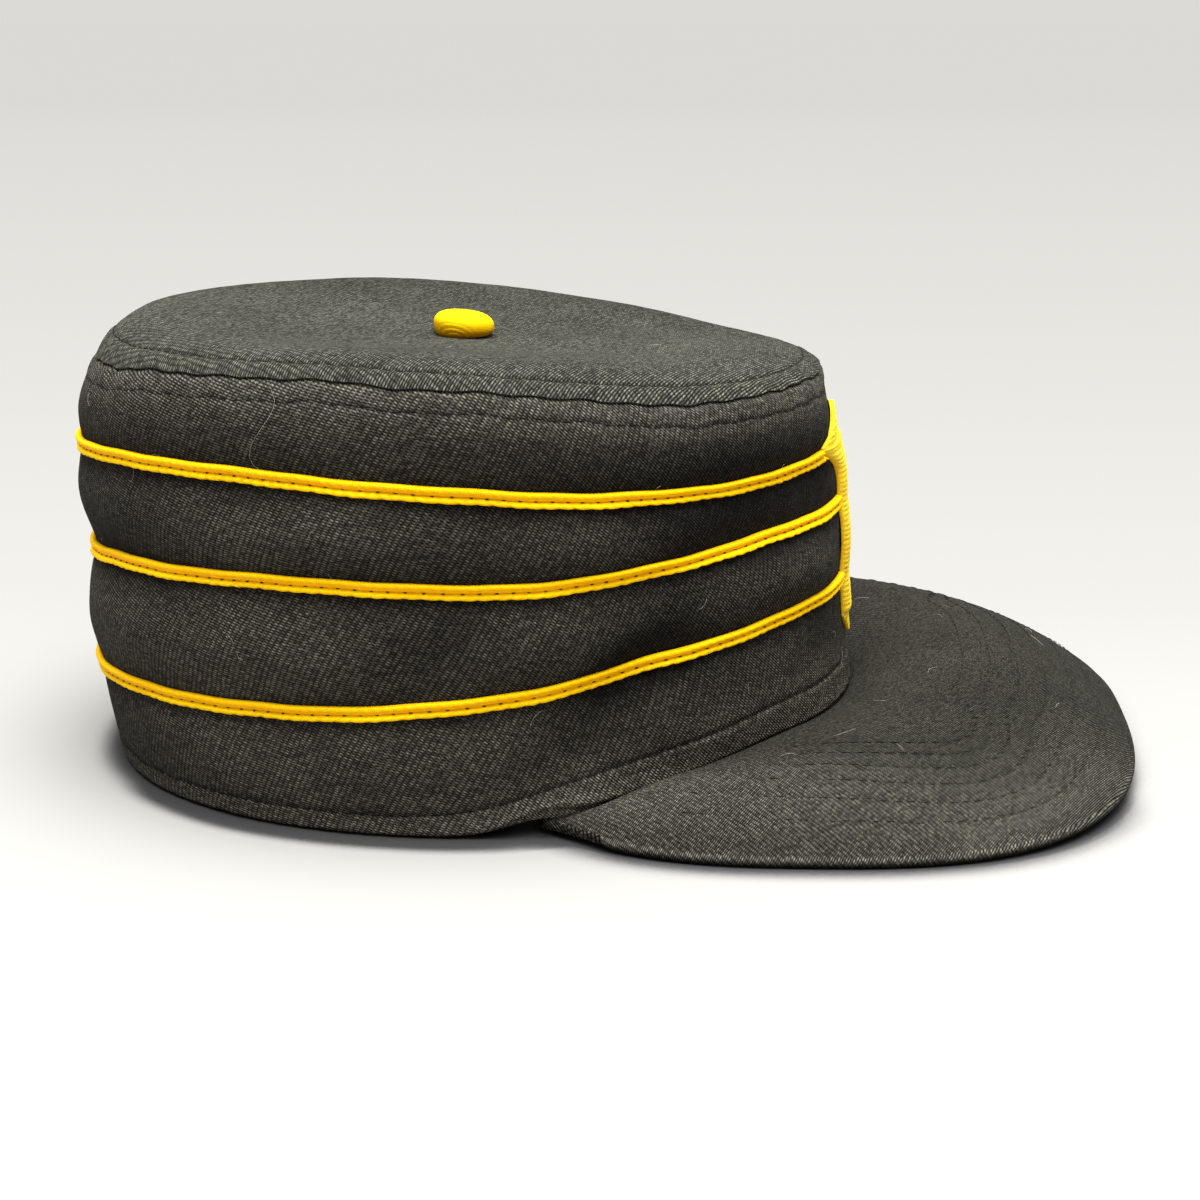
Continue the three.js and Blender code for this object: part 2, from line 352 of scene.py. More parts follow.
# twill: slanting ridges of yarn crossed by fine picks, with loose fibres, pale flecks and broad patches
def twillGroup():
    look = twillLook
    tree = bpy.data.node_groups.new("twillCloth", "ShaderNodeTree")
    for name, kind in (("Flat", "NodeSocketVector"), ("Pitch", "NodeSocketFloat"),
                       ("Lean", "NodeSocketFloat"), ("Cross", "NodeSocketFloat")):
        tree.interface.new_socket(name, in_out="INPUT", socket_type=kind)
    for name in ("Height", "Shade", "Fleck", "Patch"):
        tree.interface.new_socket(name, in_out="OUTPUT", socket_type="NodeSocketFloat")
    given = addNode(tree, "NodeGroupInput").outputs
    result = addNode(tree, "NodeGroupOutput").inputs

    def calc(operation, *values):
        return mathNode(tree, operation, *values)

    def noise(scale, detail, roughness=0.5):
        return noiseNode(tree, given["Flat"], scale, detail, roughness)

    def pair(first, second):
        node = addNode(tree, "ShaderNodeCombineXYZ")
        connect(tree, first, node.inputs[0])
        connect(tree, second, node.inputs[1])
        return node.outputs[0]

    split = addNode(tree, "ShaderNodeSeparateXYZ")
    connect(tree, given["Flat"], split.inputs[0])
    along = calc("MULTIPLY", split.outputs[0], 1000.0)
    up = calc("MULTIPLY", split.outputs[1], 1000.0)
    jitter = noise(look["jitter"], 1.0)
    fine = noise(look["fibre"], 2.0, 0.6)
    lean = calc("RADIANS", given["Lean"])
    sine = calc("SINE", lean)
    cosine = calc("COSINE", lean)
    acrossWale = calc("SUBTRACT", calc("MULTIPLY", along, sine), calc("MULTIPLY", up, cosine))
    alongWale = calc("ADD", calc("MULTIPLY", along, cosine), calc("MULTIPLY", up, sine))
    waleCount = calc("DIVIDE", acrossWale, given["Pitch"])
    waleCount = calc("MULTIPLY_ADD", noise(look["wobble"], 2.0), look["waleWobble"], waleCount)
    waleCount = calc("MULTIPLY_ADD", jitter, look["waleJitter"], waleCount)
    pickPitch = calc("MULTIPLY", given["Pitch"], look["pickShare"])

    def countPicks(slant):
        slanted = calc("MULTIPLY_ADD", acrossWale, slant, alongWale)
        return calc("MULTIPLY_ADD", jitter, look["pickJitter"], calc("DIVIDE", slanted, pickPitch))

    pickCount = countPicks(look["pickSlant"])
    ridge = parabola(tree, calc("FRACT", waleCount))
    ridge = calc("MULTIPLY_ADD", ridge, look["ridgeDepth"], 1 - look["ridgeDepth"])
    pick = parabola(tree, calc("FRACT", pickCount))
    pick = calc("MULTIPLY_ADD", pick, look["pickDepth"], 1 - look["pickDepth"])
    dashPlace = pair(waleCount, calc("MULTIPLY", pickCount, look["dashStretch"]))
    dash = noiseNode(tree, dashPlace, look["dashScale"], 1.0)
    dash = calc("MULTIPLY_ADD", dash, look["dashDepth"], 1 - look["dashDepth"] / 2)
    weave = calc("MULTIPLY", calc("MULTIPLY", ridge, pick), dash)
    floats = calc("MULTIPLY", parabola(tree, calc("FRACT", countPicks(look["crossSlant"]))), ridge)
    turned = addNode(tree, "ShaderNodeMix", data_type="FLOAT")
    connect(tree, given["Cross"], turned.inputs[0])
    connect(tree, weave, turned.inputs[2])
    connect(tree, floats, turned.inputs[3])
    weave = calc("POWER", turned.outputs[0], look["contrast"])
    connect(tree, calc("MULTIPLY_ADD", fine, 0.3, weave), result["Height"])
    chance = addNode(tree, "ShaderNodeTexWhiteNoise", noise_dimensions="2D")
    connect(tree, pair(calc("FLOOR", waleCount), calc("FLOOR", pickCount)), chance.inputs["Vector"])
    yarn = calc("MULTIPLY_ADD", chance.outputs["Value"], 0.6, 0.3)
    fibre = calc("MAXIMUM", calc("MULTIPLY_ADD", fine, 2.6, -0.3), 0.1)
    grit = calc("MULTIPLY_ADD", noise(look["grit"], 1.0), 1.7, 0.15)
    fibre = calc("MULTIPLY", fibre, grit)
    connect(tree, calc("MULTIPLY", calc("MULTIPLY", weave, yarn), fibre), result["Shade"])
    connect(tree, stepNode(tree, noise(look["fleck"], 3.0, 0.7), 0.7, 0.78), result["Fleck"])
    connect(tree, noise(look["patch"], 3.0, 0.6), result["Patch"])
    return tree


twill = twillGroup()


# the twill on a piece's flat pattern, with its relief in the shader's normal
def layTwill(tree, shader, pitch, lean, strength, depth):
    flat = addNode(tree, "ShaderNodeUVMap", uv_map="cloth")
    weave = addNode(tree, "ShaderNodeGroup", node_tree=twill)
    connect(tree, flat.outputs[0], weave.inputs["Flat"])
    setInputs(weave, {"Pitch": pitch, "Lean": lean})
    bump = addNode(tree, "ShaderNodeBump")
    setInputs(bump, {"Strength": strength, "Distance": depth})
    connect(tree, weave.outputs["Height"], bump.inputs["Height"])
    connect(tree, bump.outputs[0], shader.inputs["Normal"])
    return weave.inputs, weave.outputs


# a twill cloth: dark grooves, paler ridges, patchy tone and flecks of lint, with a soft nap, its colour
# scaled by the piece's painted light and shade
def clothMaterial(name, groove, ridge, pitch, lean):
    material, tree, shader = newMaterial(name, 0.92, 0.08)
    into, weave = layTwill(tree, shader, pitch, lean, 0.75, 0.0004)
    grain = addNode(tree, "ShaderNodeAttribute", attribute_name="grain")
    connect(tree, grain.outputs["Fac"], into["Cross"])
    tone = mixColours(tree, weave["Shade"], groove, ridge)
    # the piece's painted light and shade, from its tone attribute
    paintedShade = addNode(tree, "ShaderNodeAttribute", attribute_name="tone")
    patch = mathNode(tree, "MULTIPLY_ADD", weave["Patch"], 0.9, 0.55)
    shaded = addNode(tree, "ShaderNodeVectorMath", operation="SCALE")
    connect(tree, tone, shaded.inputs[0])
    connect(tree, mathNode(tree, "MULTIPLY", patch, paintedShade.outputs["Fac"]), shaded.inputs["Scale"])
    fleck = mathNode(tree, "MULTIPLY", weave["Fleck"], 0.4)
    colour = mixColours(tree, fleck, shaded.outputs[0], (0.13, 0.125, 0.1))
    connect(tree, colour, shader.inputs["Base Color"])
    return material


# golden yarn: fine slanting threads, warmer in the grooves; its colour mixes a painted shadow colour and a
# lit colour by the weave and the piece's painted light and shade
def yarnMaterial(name, shadow, light, pitch, lean, roughness):
    material, tree, shader = newMaterial(name, roughness, 0.05)
    weave = layTwill(tree, shader, pitch, lean, 0.6, 0.0002)[1]
    tone = addNode(tree, "ShaderNodeAttribute", attribute_name="tone")
    share = mathNode(tree, "MULTIPLY_ADD", weave["Shade"], 0.7, tone.outputs["Fac"])
    connect(tree, mixColours(tree, share, shadow, light), shader.inputs["Base Color"])
    return material


# sewing thread or a hair, with a faint twist
def threadMaterial(name, dark, pale):
    material, tree, shader = newMaterial(name, 0.8, 0.1)
    place = addNode(tree, "ShaderNodeTexCoord")
    twist = noiseNode(tree, place.outputs["Object"], 2200.0, 2.0)
    colour = mixColours(tree, stepNode(tree, twist, 0.35, 0.7), dark, pale)
    connect(tree, colour, shader.inputs["Base Color"])
    return material


crownCloth = clothMaterial("crownCloth", (0.003, 0.0027, 0.0022), (0.198, 0.185, 0.148), 1.3, 64)
panelCloth = clothMaterial("panelCloth", (0.004, 0.004, 0.0032), (0.208, 0.211, 0.167), 1.4, -40)
visorCloth = clothMaterial("visorCloth", (0.004, 0.0038, 0.003), (0.235, 0.227, 0.182), 1.05, -45)
braidCord = yarnMaterial("braidCord", (1.0, 0.4, 0.001), (1.0, 0.7, 0.002), 0.55, 50, 0.6)
badgeThread = yarnMaterial("badgeThread", (0.95, 0.45, 0.004), (1.0, 0.74, 0.035), 0.42, 90, 0.5)
buttonCloth = yarnMaterial("buttonCloth", (1.0, 0.38, 0.001), (0.95, 0.65, 0.002), 0.6, 0, 0.6)
darkThread = threadMaterial("darkThread", (0.003, 0.003, 0.0027), (0.014, 0.0135, 0.012))
visorThread = threadMaterial("visorThread", (0.005, 0.005, 0.0045), (0.024, 0.023, 0.02))
goldThread = threadMaterial("goldThread", (0.09, 0.026, 0.001), (0.26, 0.085, 0.002))
lintFibre = threadMaterial("lintFibre", (0.22, 0.21, 0.18), (0.5, 0.48, 0.42))

crownSide = dict(
    columns=420, bayRows=(24, 32, 28, 26), innerRows=20,
    hemRow=5.6,  # stitch row above the rim
    hemRowVisor=12.0,  # the same over the visor
    climbFull=66.0, climbNone=100.0,  # degrees from the front
    seamRow=4.8,  # stitch row below the top seam
    hemPuff=0.6, rollPuff=1.5, crease=0.5, seamPuff=0.3, groove=0.28, pucker=0.1, tuck=0.9,
    broadWrinkle=0.28, fineWrinkle=0.14, braidWrinkle=0.16,
    # strengths of the wall's painted shade and light: in the folds, beside the braids, on the hem, in the
    # stitch rows and near the seam
    foldPaintedShade=0.2, braidPaintedShade=0.4, hemPaintedLight=2.7, linePaintedShade=0.4, seamPaintedLight=0.36,
)
# painted shade and light of the wall: degrees from the front, spread, the heights over which they fade in,
# and strength
wallPaintedFades = [
    (-38, 26, 50, 75, -0.45),  # painted shade of the hollow at the right front
    (-84, 22, 48, 32, 0.16),
    (-124, 16, 46, 32, 0.25),
    (-56, 13, 60, 46, -0.26),  # painted shade of the slanting fold on the right
]
# smaller spots of painted shade and light: degrees, spread, height, tallness and strength
wallPaintedSpots = [(-137, 15, 47, 9, -0.2), (-64, 7, 54, 6, 0.3)]


# share of the visor's cover at an angle: 1 where it hides the rim, 0 past its corners
def visorCover(angle):
    return 1 - smoothStep(awayFromFront(angle), 76, 88)


# height of the hem's stitch row above the rim: it climbs evenly over the visor and skips the lifted corner
def hemRowAbove(angle):
    away = awayFromFront(angle)
    climb = 1 - smoothStep(away, crownSide["climbFull"], crownSide["climbNone"])
    corner = wall["cornerLift"] * bell(away - wall["cornerAngle"], wall["cornerSpread"])
    return crownSide["hemRow"] + (crownSide["hemRowVisor"] - crownSide["hemRow"]) * climb - corner


# how firmly the seam's stitch row shows: it fades towards the right back
def seamDrawn(angle, least):
    return least + (1 - least) * smoothStep(np.degrees(angle), -135, -85)


# the levels of the wall's rows: gathered at the hem's row, at the seam's row and at the seam
def wallLevels(angle):
    rows = rowHeights(angle)
    hemShare = np.concatenate([np.linspace(0, 0.84, 20), np.linspace(0.88, 1.12, 11)])[:, None]
    hemLevels = hemShare * hemRowAbove(angle) / (rows[1] - rows[0])
    seamBelow = np.concatenate([np.linspace(6.2, 3.6, 11), np.linspace(3.2, 0, 12)])[:, None]
    seamLevels = 1 - seamBelow / (rows[4] - rows[3])
    spread = [np.linspace(0, 1, count + 1)[:-1, None] for count in crownSide["bayRows"]]
    first = hemLevels[-1:] + (1 - hemLevels[-1:]) * spread[0][1:]
    last = 3 + seamLevels[:1] * spread[3]
    middle = [bay + spread[bay] + 0 * angle for bay in (1, 2)]
    return np.concatenate([hemLevels, first, *middle, last, 3 + seamLevels])


# where a height lies on the wall: above the rim, below the seam, off the nearest braid; and the hem's row
def wallPlace(angle, height):
    rows = rowHeights(angle)
    offBraid = np.min(np.abs(np.stack([height - row for row in rows[1:4]])), 0)
    return height - rows[0], rows[4] - height, offBraid, hemRowAbove(angle)


# relief of the outer wall: puffed hem and seam strips, stitch grooves, puckers and faint wrinkles
def wallRelief(angle, level):
    height = wallPoint(angle, level, 0.0)[..., 2]
    aboveRim, belowSeam, offBraid, hemTop = wallPlace(angle, height)
    arc = arcOf(angle)
    share = level - np.clip(np.floor(level), 0, 3)
    cover = visorCover(angle)
    foot = visor["thick"] * cover
    hemShare = np.clip((aboveRim - foot) / (hemTop - foot), 0, 1)
    hemStrip = smoothStep(hemShare, 0, 0.16) * (1 - 0.7 * hemShare) * (1 - smoothStep(hemShare, 0.93, 1))
    seamStrip = hump(belowSeam / crownSide["seamRow"])
    hemPuff = crownSide["hemPuff"] + (crownSide["rollPuff"] - crownSide["hemPuff"]) * cover
    relief = hemPuff * hemStrip + crownSide["seamPuff"] * seamStrip ** 0.6
    relief -= crownSide["crease"] * cover * bell(aboveRim - foot, 0.8)
    relief -= crownSide["groove"] * bell(aboveRim - hemTop, 0.7)
    relief -= crownSide["groove"] * seamDrawn(angle, 0.35) * bell(belowSeam - crownSide["seamRow"], 0.7)
    pucker = np.sin(2 * np.pi * arc / 6.3 + 1.6 * np.sin(arc / 13))
    relief += crownSide["pucker"] * pucker * (hemStrip + seamStrip)
    relief -= crownSide["tuck"] * bell(belowSeam, 0.8)
    free = hump(share)
    relief += crownSide["broadWrinkle"] * np.sin(arc / 10.5 + height / 8 + 1.5 * np.sin(arc / 31)) * free
    relief += crownSide["fineWrinkle"] * np.sin(arc / 4.7 - height / 6.5 + 2 * np.sin(height / 12)) * free
    drawnIn = np.sin(2 * np.pi * arc / 8.5 + 2 * np.sin(arc / 17)) * bell(offBraid - 4.0, 2.5)
    return relief + crownSide["braidWrinkle"] * drawnIn


# painted light and shade of the wall's cloth: paler on the swells, darker in the hollows and beside the
# braids
def wallPaintedShade(angle, height):
    aboveRim, belowSeam, offBraid, hemTop = wallPlace(angle, height)
    degrees = np.degrees(angle)
    away = awayFromFront(angle)
    # painted shade in the folds' hollows, painted light on their swells, and painted shade beside the
    # braids
    tone = 1.0 + crownSide["foldPaintedShade"] * foldDepth(angle, height)
    tone -= crownSide["braidPaintedShade"] * bell(offBraid, 5.0)
    for middle, spread, low, high, strength in wallPaintedFades:
        tone += strength * bell(degrees - middle, spread) * smoothStep(height, low, high)
    for middle, spread, level, tall, strength in wallPaintedSpots:
        tone += strength * bell(degrees - middle, spread) * bell(height - level, tall)
    tone -= 0.14 * smoothStep(-degrees, 110, 150) * smoothStep(height, 40, 62)  # painted shade at the right back
    # painted light near the seam, more of it towards the front, and painted shade further down from the
    # seam
    nearSeam = smoothStep(belowSeam, 10, 3)
    tone += (crownSide["seamPaintedLight"] + 0.2 * smoothStep(away, 95, 60)) * nearSeam
    tone -= 0.15 * smoothStep(belowSeam, 4, 14)
    # painted shade high on the wall at the right front
    tone -= 0.22 * bell(degrees + 66, 24) * smoothStep(belowSeam, 5, 10) * smoothStep(height, 62, 80)
    hem = 0.4 + 0.4 * smoothStep(away, 38, 62) - 0.45 * smoothStep(away, 70, 125)  # painted light on the hem, palest beside the visor
    hem *= 1 - 0.72 * smoothStep(aboveRim / hemTop, 0.4, 0.95)
    tone += crownSide["hemPaintedLight"] * hem * smoothStep(aboveRim, hemTop, hemTop - 1)
    # painted light just above the hem's stitch row, except at the back
    tone += 0.4 * bell(aboveRim - hemTop - 2.5, 3.0) * smoothStep(away, 125, 90)
    # painted shade in the stitch rows of the hem and the seam
    lines = 0.5 * bell(aboveRim - hemTop, 0.55)
    lines += seamDrawn(angle, 0.3) * bell(belowSeam - crownSide["seamRow"], 0.55)
    return np.clip(tone - crownSide["linePaintedShade"] * lines, 0.2, 3.2)


# how far a rounded edge falls back at a height below its radius
def edgeFallback(height, radius):
    low = np.clip(radius - height, 0, radius)
    return radius - np.sqrt(radius ** 2 - low ** 2)


# the side wall: its outer face from the rim up and its inner face back down, closed at the hem and the seam
def makeCrownSide():
    angle = np.linspace(-np.pi, np.pi, crownSide["columns"] + 1)
    angles = angle[None, :]
    outerLevel = wallLevels(angles)
    innerLevel = np.linspace(4, 0, crownSide["innerRows"] + 1)[:-1, None]
    relief = wallRelief(*np.broadcast_arrays(angles, outerLevel))
    bare = wallPoint(angles, outerLevel, 0.0)
    hemRound = wall["hem"] / 2
    rim = rimHeight(angles)
    outer = wallPoint(angles, outerLevel, relief - edgeFallback(bare[..., 2] - rim, hemRound))
    innerBare = wallPoint(angles, innerLevel, 0.0)[..., 2] - rim
    thick = wall["hem"] + (wall["cloth"] - wall["hem"]) * smoothStep(innerBare, 5, 10)
    inner = wallPoint(angles, innerLevel, edgeFallback(innerBare, hemRound) - thick)
    points = np.concatenate([outer, inner])[:, :-1]
    arc = arcOf(angles)
    flat = [np.stack(np.broadcast_arrays(arc, part[..., 2]), -1) for part in (outer, inner)]
    flat = np.concatenate([*flat, flat[0][:1]])
    cells = gridCells(points.shape[0], points.shape[1], True)
    angles = np.broadcast_to(angles[:, :-1], points.shape[:2])
    values = {"tone": wallPaintedShade(angles, points[..., 2]),
              "grain": 0.25 + 0.55 * smoothStep(awayFromFront(angles), 125, 62)}
    piece = makePiece("crownSide", points, cells, crownCloth, gridFlat(flat), values)
    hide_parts("crown_side")


crownTop = dict(
    columns=360, centreX=-4.3, centreHeight=106.4, meanRadius=88.0, roll=6.0, rollRise=6.5, backRise=6.0,
    frontDrop=1.4, leftRise=1.3, stitchInset=4.4, groove=0.3, edgeGap=0.2, rippleReach=4.0,
    stripPuff=0.25, pucker=0.08, longWave=0.35, crossWave=0.25,
)


# rise of the panel above the seam: steep at the edge and flattening inwards, then a slow sag to the middle
def panelRise(inset, angle=0.0):
    away = awayFromFront(angle)
    more = crownTop["backRise"] * smoothStep(away, 120, 175)
    more = more - crownTop["frontDrop"] * smoothStep(away, 65, 30)
    more = more + crownTop["leftRise"] * bell(np.degrees(angle) - 55, 24)
    more = more * (1 - inset / crownTop["meanRadius"])
    edge = (crownTop["rollRise"] + more) * (1 - np.exp(-inset / crownTop["roll"]))
    sag = np.interp(inset, [10, 22, 48, 88], [0, 0.8, 3.0, 4.5])
    return crownTop["edgeGap"] + edge - sag


# a point of the panel: the seam's outline drawn in towards the middle
def panelPoint(angle, inset, rise):
    edge = wallPoint(angle, 4.0, 0.0)
    spread = 1 - inset / crownTop["meanRadius"]
    x = crownTop["centreX"] + (edge[..., 0] - crownTop["centreX"]) * spread
    ripple = seamRipple(angle)
    base = crownTop["centreHeight"] + (edge[..., 2] - ripple - crownTop["centreHeight"]) * spread
    base = base + ripple * np.exp(-inset / crownTop["rippleReach"])
    return np.stack(np.broadcast_arrays(x, edge[..., 1] * spread, base + rise), -1)


# relief of the panel: a puffed strip and a stitch groove at its edge, and slow waves inside
def panelRelief(angle, inset):
    angle, inset = np.broadcast_arrays(angle, inset)
    arc = arcOf(angle)
    strip = hump(inset / crownTop["stitchInset"])
    relief = crownTop["stripPuff"] * strip - crownTop["groove"] * bell(inset - crownTop["stitchInset"], 0.6)
    relief += crownTop["pucker"] * np.sin(2 * np.pi * arc / 6.7 + 1.5 * np.sin(arc / 11)) * strip
    free = smoothStep(inset, 5, 16)
    x = (crownTop["meanRadius"] - inset) * np.cos(angle)
    y = (crownTop["meanRadius"] - inset) * np.sin(angle)
    relief += free * crownTop["longWave"] * np.sin(x / 19 + 1.2 * np.sin(y / 23))
    return relief + free * crownTop["crossWave"] * np.sin(y / 13 - x / 29)


# the top panel: rings from the middle of its underside out to the seam and back in over the top
def makeCrownTop():
    angle = np.linspace(-np.pi, np.pi, crownTop["columns"] + 1)[None, :]
    near = np.concatenate([np.linspace(0, 1, 8) ** 2 * 1.4, np.linspace(1.7, 9, 25)])
    far = np.linspace(10, 87, 44)
    inset = np.concatenate([near, far])[:, None]
    outer = panelPoint(angle, inset, panelRise(inset, angle) + panelRelief(angle, inset))
    innerInset = np.array([87, 70, 48, 22, 10, 5, 2.6, 1.2])[:, None]
    innerRise = panelRise(innerInset, angle) - wall["cloth"] * smoothStep(innerInset, 0.0, 6.0) - 0.2
    inner = panelPoint(angle, innerInset, innerRise)
    inner[-1, :, 2] = wallPoint(angle, 4.0, 0.0)[0, :, 2] - 0.4
    rings = np.concatenate([inner, outer])[:, :-1]
    ringCount, count = rings.shape[:2]
    poles = np.stack([[crownTop["centreX"], 0, rings[ring, :, 2].mean()] for ring in (0, -1)])
    points = np.concatenate([rings.reshape(-1, 3), poles])
    side = np.arange(count)
    following = (side + 1) % count
    outermost = (ringCount - 1) * count
    under = np.stack([np.full(count, ringCount * count), following, side], -1)
    over = np.stack([np.full(count, ringCount * count + 1), outermost + side, outermost + following], -1)
    cells = gridCells(ringCount, count)
    faces = cells.tolist() + under.tolist() + over.tolist()
    corners = np.concatenate([cells.ravel(), under.ravel(), over.ravel()])
    drop = np.diff(panelRise(inset[:, 0]))
    across = np.diff(inset[:, 0])
    extra = np.cumsum((np.hypot(drop, across) - across)[::-1])[::-1]
    stretch = np.concatenate([np.zeros(len(innerInset)), extra, [0]])[:, None, None]
    turn = angle[0, :-1]
    flat = rings[..., :2] + stretch * np.stack([np.cos(turn), np.sin(turn)], -1)
    flat = np.concatenate([flat.reshape(-1, 2), poles[:, :2]])
    depth = np.concatenate([np.repeat(np.concatenate([innerInset, inset])[:, 0], count), [88, 88]])
    # painted shade towards the far side, painted light on the puffed edge strip, and painted shade in the
    # stitch groove
    tone = 1 - 0.2 * smoothStep(points[:, 1], -10, 70) + 0.12 * smoothStep(depth, 9, 2)
    tone -= 0.45 * bell(depth - crownTop["stitchInset"], 0.5)
    piece = makePiece("crownTop", points, faces, panelCloth, flat[corners], {"tone": tone})
    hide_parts("crown_top")


# the visor's outer edge from corner (-1) through tip (0) to corner (1): a squarer oval, lower at the sides
def visorEdge(along):
    angle = np.radians(visor["outerAngle"]) * along
    across = squared(np.sin(angle), visor["squareness"])
    ahead = squared(np.cos(angle), visor["squareness"])
    x = visor["centreX"] + np.where(ahead > 0, visor["reach"], visor["rear"]) * ahead
    z = visor["tipHeight"] * (1 - np.abs(across) ** visor["edgePower"])
    x = x + visor["leftFull"] * bell(across - 0.45, 0.5) * (ahead > 0)
    y = visor["half"] * across + visor["leftMore"] * smoothStep(across, 0.3, 1.0)
    return np.stack([x, y, z], -1)


# the visor's underside: straight from the rim to the edge, arched in between
def visorUnder(along, share):
    angle = np.radians(visor["innerAngle"]) * along
    tucked = smoothStep(np.abs(along), 0.8, 1.0)  # the corners slide under the hem
    lift = visor["thick"] - visorLook["tuckDrop"] * tucked
    out = -visor["seat"] - visorLook["tuckIn"] * tucked  # the inner edge is sewn into the hem
    inner = wallPoint(angle, levelAt(angle, rimHeight(angle) + visor["thick"]), out)
    outer = visorEdge(along)
    point = inner * (1 - share[..., None]) + outer * share[..., None]
    arch = visor["swell"] * 4 * share * (1 - share) * (1 - along ** 6)
    base = np.maximum(rimHeight(angle) + lift - visor["thick"], 0.3)
    point[..., 2] = base * (1 - share) + outer[..., 2] * share + arch
    return point


visorLook = dict(
    columns=400, topRows=150, underRows=36, edgeRows=9, edgeOut=1.1,
    rows=[8.3, 15.0, 22.3, 29.6, 36.9, 44.2],  # stitch rows, from the edge inwards
    sideSquash=0.48,  # the rows crowd together where the sides fall steeply
    groove=0.1, puff=0.08, tuckDrop=3.3, tuckIn=2.0, creaseDip=1.6, edgeDrop=0.7, taper=1.3, unroll=0.9,
)


# share of a stitch row's offset that is left at a place across the visor
def sideShare(across):
    return 1 - visorLook["sideSquash"] * smoothStep(np.abs(across), 0.6, 0.97)


# the nearest target to each point, and how far off it is
def nearestOf(points, targets, parts):
    gaps = [((part[:, None] - targets[None]) ** 2).sum(-1) for part in np.array_split(points, parts)]
    nearest = np.concatenate([gap.argmin(1) for gap in gaps])
    return nearest, np.sqrt(np.concatenate([gap.min(1) for gap in gaps]))


# how far points lie in from the visor's edge, seen from above: plainly, and as a stitch row's offset
def insetFromEdge(points):
    edge = visorEdge(np.linspace(-1, 1, 721))[:, :2]
    nearest, inset = nearestOf(points[..., :2].reshape(-1, 2), edge, 40)
    across = edge[nearest, 1] / visor["half"]
    return inset.reshape(points.shape[:-1]), (inset / sideShare(across)).reshape(points.shape[:-1])


# relief of the visor: a groove under each stitch row and a faint puff between
def visorRelief(rowInset):
    relief = np.zeros_like(rowInset)
    for row in visorLook["rows"]:
        relief -= visorLook["groove"] * bell(rowInset - row, 0.75)
    between = (rowInset - visorLook["rows"][0]) / (visorLook["rows"][1] - visorLook["rows"][0])
    inside = smoothStep(rowInset, 7, 9) * smoothStep(rowInset, 49, 44)
    return relief + visorLook["puff"] * np.sin(np.pi * between) ** 2 * inside


# the visor: closed sections of top, rounded edge and underside, from corner to corner
def makeVisor():
    even = np.linspace(-1, 1, visorLook["columns"])[:, None]
    along = 0.6 * np.sin(even * np.pi / 2) + 0.4 * even
    alongTop, topShare = np.broadcast_arrays(along, np.linspace(0, 1, visorLook["topRows"])[None, :])
    alongUnder, underShare = np.broadcast_arrays(along, np.linspace(1, 0, visorLook["underRows"])[None, :])
    top = visorUnder(alongTop, topShare)
    under = visorUnder(alongUnder, underShare)
    corner = np.clip(np.abs(along) / 0.03 - 32.4, 0, 0.93)  # a quarter circle over the last of each corner
    taper = visorLook["taper"] * (1 - np.sqrt(1 - corner ** 2))
    under[..., 2] += taper
    inset, rowInset = insetFromEdge(top)
    fromCrown = np.linalg.norm(top[..., :2] - top[:, :1, :2], axis=-1)
    crease = visorLook["creaseDip"] * bell(fromCrown, 1.7) * smoothStep(np.abs(alongTop), 0.95, 0.75)
    top[..., 2] += visor["thick"] + visorRelief(rowInset) - crease
    top[..., 2] -= visorLook["edgeDrop"] * np.clip(1 - inset / 2.4, 0, 1) ** 2
    turn = np.linspace(0, np.pi, visorLook["edgeRows"] + 2)[1:-1][None, :]
    edge = visorEdge(along[:, 0])
    tangent = unit(np.gradient(edge[:, :2], axis=0))
    outward = np.stack([tangent[:, 1], -tangent[:, 0]], -1)[:, None]
    rounding = np.zeros((len(edge), visorLook["edgeRows"], 3))
    rounding[..., :2] = edge[:, None, :2] + outward * (visorLook["edgeOut"] * np.sin(turn))[..., None]
    depth = visor["thick"] - visorLook["edgeDrop"] - taper
    rounding[..., 2] = edge[:, None, 2] + taper + depth * (0.5 + 0.5 * np.cos(turn))
    sections = np.concatenate([top, rounding, under], 1)
    x, y, z = np.moveaxis(sections, -1, 0)
    fall = visorLook["unroll"] * (z.max() - z) * np.tanh(y / 20)  # the steep sides are unrolled outwards
    flat = np.stack([x, y + fall], -1)
    edgeStart = visorLook["topRows"]
    edgeEnd = edgeStart + visorLook["edgeRows"]
    fallen = top[:, -1:, 2] - rounding[..., 2]
    flat[:, edgeStart:edgeEnd] = flat[:, edgeStart - 1:edgeStart] + outward * fallen[..., None]
    inset, rowInset = insetFromEdge(sections)
    # painted light towards the visor's near edge on the near side, with painted shade over the rest
    paler = 0.62 + 0.06 * smoothStep(x, 60, 120)
    tone = 0.45 + paler * smoothStep(inset, 26, 2) * smoothStep(-y, 20, 90)
    # painted shade in the stitch rows at the near front
    lines = sum(bell(rowInset - row, 0.5) for row in visorLook["rows"])
    tone -= 0.06 * lines * smoothStep(x, 60, 110) * smoothStep(-y, 10, 50)
    # painted shade on the lower half of the rounded edge
    tone[:, edgeStart:edgeEnd] *= 0.25 + 0.75 * smoothStep(np.cos(turn), -0.4, 0.7)
    piece = makePiece("visorBoard", sections, tubeFaces(1, *sections.shape[:2]), visorCloth,
                      tubeFlat(flat, sections[..., 1:]), {"tone": tone})
    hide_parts("visor")
    return top


badge = dict(
    bottom=29.0, top=91.5, stem=15.0, foot=12.5, wing=26.0, wingHeight=84.0, wingSpread=4.5, tip=0.9,
    lowEnd=8.0, proud=2.5, gap=0.5, back=0.3, rows=260, columns=45, threadPitch=1.3, thread=0.13,
)


